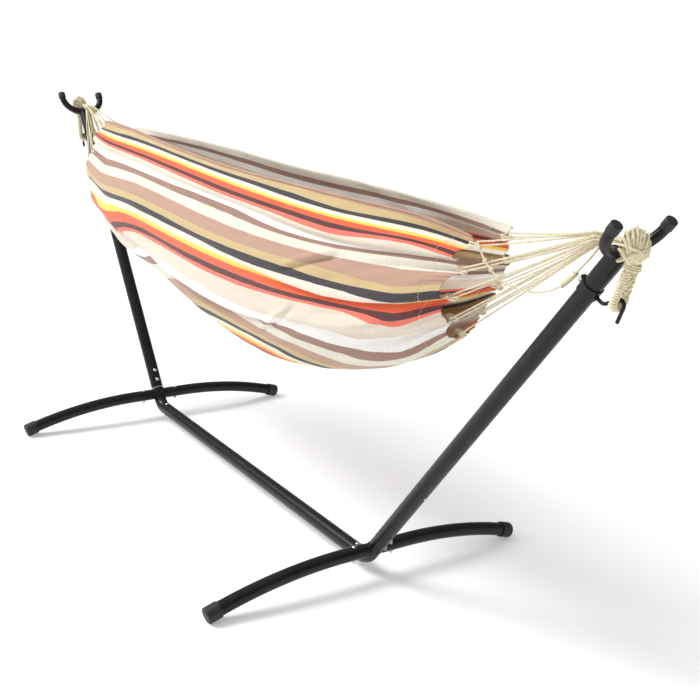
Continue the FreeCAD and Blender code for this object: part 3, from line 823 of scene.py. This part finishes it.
def bundle(side):
    """The fan cords' ends run together and over the saddle to the knot."""
    parts = []
    for number, end in enumerate(fan_ends[side]):
        ring = math.sqrt((number % 9 + 0.5) / 9) if number < 9 else math.sqrt((number - 8.5) / 9)
        packed_r = PACKED_R * ring
        turn = 2.4 * number
        route = []
        for x, gathered, twist in BUNDLE_STEPS:
            y = (1 - gathered) * end[1] + gathered * packed_r * math.cos(turn + twist)
            z = (1 - gathered) * end[2] + gathered * (SWING_Z + packed_r * math.sin(turn + twist))
            route.append((side * x, y, z))
        line = smooth_through(np.arange(6.0), np.array(route), np.linspace(0, 5, 60))
        parts.append(twisted(line, 0.0043, 3, 3.6))
    return together(parts)


# ---- the knot outside each saddle, and the wrapped loop that hangs from it on the hook ----
KNOT_FLOOR = np.array([1.4245, -0.007, 1.0135])
KNOT_HIGH = 0.069
HANK_D = 0.0064
FAN_SIDE = unit(np.array([0.577, 0.817, 0.0]))   # the hank's broad face looks to the front and out
FAN_DEEP = np.array([0.817, -0.577, 0.0])
NECK = np.array([1.420, 0.0, 1.010])
EYE = np.array([1.398, 0.0, 0.936])
DOWN = unit(EYE - NECK)


def flipped(points, side):
    return points * np.array([side, 1.0, 1.0])


def hank_loop(offset, wide, high, deep, lean):
    """One turn of the folded hank: up from the neck in front, over, and down behind."""
    t = np.linspace(0, TURN, 40, endpoint=False)
    spread = np.sin(t / 2) ** 1.25
    fall = math.sqrt(max(0.05, 1 - (offset / 1.12) ** 2))
    rise = (1 - np.cos(t)) / 2
    line = (KNOT_FLOOR + np.outer(offset * wide * spread, FAN_SIDE)
            + np.outer(np.sin(t) * deep * (0.35 + 0.65 * spread), FAN_DEEP)
            + np.outer(rise * high * fall, (0, 0, 1.0)) + np.outer(rise * lean, FAN_SIDE))
    return line


def closed_twisted(line, diameter, turns):
    """Two plies wound round a closed line."""
    parts = []
    count = len(line) * 4
    dense = np.stack([np.interp(np.arange(count) / 4, np.arange(len(line) + 1),
                                np.append(line[:, k], line[0, k])) for k in range(3)], axis=1)
    across, over = sides_of(dense, closed=True)
    for ply in (0, 0.5):
        turn = TURN * (np.arange(count) / count * turns + ply)
        offset = across * np.cos(turn)[:, None] + over * np.sin(turn)[:, None]
        parts.append(tube(dense + offset * diameter * 0.21, diameter * 0.29, 6, closed=True))
    return parts


def end_knot():
    """The cords' ends folded into a hank and bound, with a tight neck below."""
    parts = []
    for k in range(11):
        offset = -1 + 2 * k / 10
        jitter = chance.uniform(-1, 1, 4)
        loop = hank_loop(offset + 0.03 * jitter[0], 0.028, KNOT_HIGH + 0.0025 * jitter[1],
                         0.0215 + 0.0015 * jitter[2], 0.004 * jitter[3])
        parts += closed_twisted(loop, HANK_D, 15)
    for k in range(8):
        offset = -0.9 + 1.8 * k / 7
        jitter = chance.uniform(-1, 1, 2)
        loop = hank_loop(offset, 0.023 + 0.001 * jitter[0], 0.047, 0.0145, 0.003 * jitter[1])
        parts += closed_twisted(loop, HANK_D, 12)
    # two turns laid across the front of the hank
    for lift, lean in ((0.0, 0.006), (0.007, -0.004)):
        t = np.linspace(0, TURN, 44, endpoint=False)
        centre = KNOT_FLOOR + np.array([-0.001, 0, 0.020 + lift])
        band = (centre + np.outer(np.cos(t) * 0.0275, FAN_SIDE) + np.outer(np.sin(t) * 0.0235, FAN_DEEP)
                + np.outer(np.cos(t) * lean * 2.4 + np.sin(t) * 0.004, (0, 0, 1.0)))
        parts += closed_twisted(band, 0.0060, 16)
    # the neck: three tight turns
    for k in range(3):
        t = np.linspace(0, TURN, 40, endpoint=False)
        centre = NECK + DOWN * (0.0045 * k - 0.004)
        ring_r = 0.0135 + 0.0006 * k
        band = (centre + np.outer(np.cos(t) * ring_r * 1.22, (0, 1.0, 0))
                + np.outer(np.sin(t) * ring_r, np.cross(DOWN, (0, 1.0, 0)))
                + np.outer(np.cos(t) * 0.0016, DOWN))
        parts += closed_twisted(band, 0.0044, 14)
    return together(parts)


LEG_TOP, LEG_EYE = 0.0093, 0.0142      # half the gap between the loop's legs, above and at the eye


def loop_line():
    """The wrapped loop's middle: down the near leg, round the eye and up the far leg."""
    side = np.array([0.0, 1.0, 0.0])
    top = NECK - DOWN * 0.001
    arc = np.linspace(0, math.pi, 24)
    near = np.array([top - side * LEG_TOP, EYE - side * LEG_EYE])
    round_eye = EYE - np.outer(np.cos(arc), side) * LEG_EYE + np.outer(np.sin(arc), DOWN) * LEG_EYE
    far = np.array([EYE + side * LEG_EYE, top + side * LEG_TOP])
    return stepped(np.concatenate([near, round_eye[1:-1], far]), 0.001)[0]


def wrapped_loop():
    """The near leg and the eye are whipped with cord, and the far leg's strands are bare."""
    line = loop_line()
    whole = lengths_along(line)[-1]
    parts = []
    wrapped_to = 0.66 * whole
    wrapped = between(line, 0.010, wrapped_to, 0.001)
    parts.append(winding(wrapped, 0.0066, 0.0027, 0.0056, 7))
    parts.append(tube(between(line, 0.006, wrapped_to, 0.002), 0.0052, 10))
    for low, high, out, thick in ((wrapped_to - 0.012, whole, 0.0056, 0.0064), (0.0, 0.020, 0.0050, 0.0062)):
        bare = between(line, low, high, 0.001)
        across, over = sides_of(bare)
        for k in range(5):
            turn = TURN * (np.arange(len(bare)) * 0.001 / 0.105 + k / 5)
            strand = bare + (across * np.cos(turn)[:, None] + over * np.sin(turn)[:, None]) * out
            parts.append(twisted(strand, thick, 2, 3.2, 6))
    return together(parts)


knot_points, knot_faces = end_knot()
loop_points, loop_faces = wrapped_loop()


def reversed_faces(faces, side):
    return faces if side > 0 else [face[::-1] for face in faces]


for side, word in ((1, "right"), (-1, "left")):
    over_saddle = piece("bundle_" + word, *bundle(side), CORD_COTTON)
    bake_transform(over_saddle)
    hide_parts("gather_" + word)
    tied = piece("knot_" + word, flipped(knot_points, side), reversed_faces(knot_faces, side), CORD_COTTON)
    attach(tied, "stand")
    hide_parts("end_knot_" + word)
    loop = piece("loop_" + word, flipped(loop_points, side), reversed_faces(loop_faces, side), CORD_COTTON)
    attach(loop, "stand")
    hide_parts("wrapped_loop_" + word)

# ---- weld beads ----
SLOPE = math.radians(53.5)
ARM_U = np.array([math.cos(SLOPE), 0, math.sin(SLOPE)])
ARM_N = np.array([math.sin(SLOPE), 0, -math.cos(SLOPE)])
ALONG_Y = np.array([0.0, 1.0, 0.0])
CORNER = np.array([0.656, 0, 0.042])
TUBE_R, STUB_R, YOKE_R = 0.021, 0.0174, 0.0115
ARM_END, YOKE_AT = 1.224, 1.230
FOOT_JOINT = np.array([0.680, 0, 0.0805])
COLLAR_AT, COLLAR_R = 1.122, 0.02375
HOOK_BEND = np.array([1.362, 0, 0.921])
LEAST_REACH = 0.003


def on_arm(along, out=0.0, side=0.0):
    return CORNER + ARM_U * along + ARM_N * out + ALONG_Y * side


def bead(line, radius):
    """A closed weld bead with the ripples of its passes."""
    line = np.asarray(line)
    count = len(line)
    ripple = 1 + 0.16 * np.cos(TURN * np.arange(count) * round(count / 5) / count)
    return tube(line, radius * ripple, 8, closed=True)


def weld_beads():
    """Round each yoke's foot, each elbow's two stubs and each hook's root."""
    parts = []
    turns = np.linspace(0, TURN, 120, endpoint=False)
    wall_mid = TUBE_R - 0.0006
    arm_top = []
    for t in turns:
        out = wall_mid * math.cos(t)
        under = YOKE_R ** 2 - out ** 2
        along = min(ARM_END, YOKE_AT - math.sqrt(under)) if under > 0 else ARM_END
        arm_top.append(on_arm(along + 0.0006, out, wall_mid * math.sin(t)))
    parts.append(bead(arm_top, 0.0019))
    for foot_side in (-1, 1):
        stub = []
        for t in turns:
            across = STUB_R * math.cos(t)
            off_axis = across + (FOOT_JOINT - CORNER) @ ARM_N
            reach = math.sqrt(max(TUBE_R ** 2 - off_axis ** 2, LEAST_REACH ** 2))
            stub.append(FOOT_JOINT + ARM_N * across + ARM_U * STUB_R * math.sin(t)
                        + ALONG_Y * foot_side * (reach + 0.0004))
        parts.append(bead(stub, 0.0022))
    root = on_arm(COLLAR_AT, COLLAR_R)
    rod = unit(HOOK_BEND - root)
    over = np.cross(rod, ALONG_Y)
    ring = [root + rod * 0.0012 + (ALONG_Y * math.cos(t) + over * math.sin(t)) * 0.0043 for t in turns[::2]]
    parts.append(bead(ring, 0.0014))
    points, faces = together(parts)
    return together([(points, faces), (flipped(points, -1), reversed_faces(faces, -1))])


welds = piece("weld_beads", *weld_beads(), WELD)
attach(welds, "stand")

# ---- finishes of the modelled steel and plastic ----
FINISHES = {"base_beam": POWDER, "elbow": POWDER, "arm_lower": POWDER, "arm_upper": POWDER, "yoke": POWDER,
            "hook_collar": POWDER, "hook": POWDER, "foot_front": POWDER, "foot_rear": POWDER,
            "arm_sleeve": BARE, "snap_button": PLATED, "button_spring": SPRING, "arm_bolts": PLATED,
            "arm_nuts": PLATED, "base_bolts": PLATED, "base_nuts": PLATED, "foot_bolts": PLATED,
            "foot_nuts": PLATED, "collar_bolts": PLATED, "collar_nuts": PLATED,
            "foot_cap_front": PLASTIC, "foot_cap_rear": PLASTIC, "yoke_caps": PLASTIC}
for name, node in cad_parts.items():
    kind = name.replace("_right", "").replace("_left", "")
    if kind in FINISHES:
        node.data.materials.clear()
        node.data.materials.append(FINISHES[kind])


# ---- the floor and the light ----
def floor():
    """A wide pale floor."""
    half = 30.0
    points = np.array([(-half, -half, 0), (half, -half, 0), (half, half, 0), (-half, half, 0)])
    made = piece("floor", points, [(0, 1, 2, 3)], pale_floor(), smooth=False)


def soft_light(name, place, target, size, power):
    data = bpy.data.lights.new(name, "AREA")
    data.shape = "RECTANGLE"
    data.size, data.size_y = size
    data.energy = power
    light = bpy.data.objects.new(name, data)
    scene.collection.objects.link(light)
    light.location = place
    light.rotation_mode = "QUATERNION"
    light.rotation_quaternion = (Vector(target) - Vector(place)).to_track_quat("-Z", "Y")


def soft_sun(name, towards, strength, spread):
    data = bpy.data.lights.new(name, "SUN")
    data.energy = strength
    data.angle = math.radians(spread)
    light = bpy.data.objects.new(name, data)
    scene.collection.objects.link(light)
    light.rotation_mode = "QUATERNION"
    light.rotation_quaternion = Vector(towards).to_track_quat("-Z", "Y")


def studio():
    """White round the horizon and dimmer overhead, with a broad key light from the front left."""
    world = bpy.data.worlds.new("studio")
    scene.world = world
    world.use_nodes = True
    tree = world.node_tree
    background = tree.nodes["Background"]
    background.inputs["Color"].default_value = (1.0, 1.0, 1.0, 1.0)
    direction = tree.nodes.new("ShaderNodeTexCoord").outputs["Generated"]
    parts = tree.nodes.new("ShaderNodeSeparateXYZ")
    tree.links.new(direction, parts.inputs[0])
    dimmer = tree.nodes.new("ShaderNodeMapRange")
    dimmer.inputs["From Min"].default_value = 0.07
    dimmer.inputs["From Max"].default_value = 0.16
    dimmer.inputs["To Min"].default_value = 1.02
    dimmer.inputs["To Max"].default_value = 0.22
    tree.links.new(parts.outputs["Z"], dimmer.inputs["Value"])
    tree.links.new(dimmer.outputs[0], background.inputs["Strength"])
    soft_sun("key", (0.62, 0.62, -1.0), 2.1, 26)
    soft_sun("sky", (0.10, 0.1, -1.0), 0.7, 90)
    soft_light("long_panel", (-2.4, -3.4, 3.2), (-0.3, 0, 0.7), (2.6, 1.0), 70)
    soft_light("end_panel", (3.6, -2.6, 2.6), (0.8, 0, 0.7), (1.2, 1.8), 6)


floor()
studio()
scene.view_settings.view_transform = "Standard"
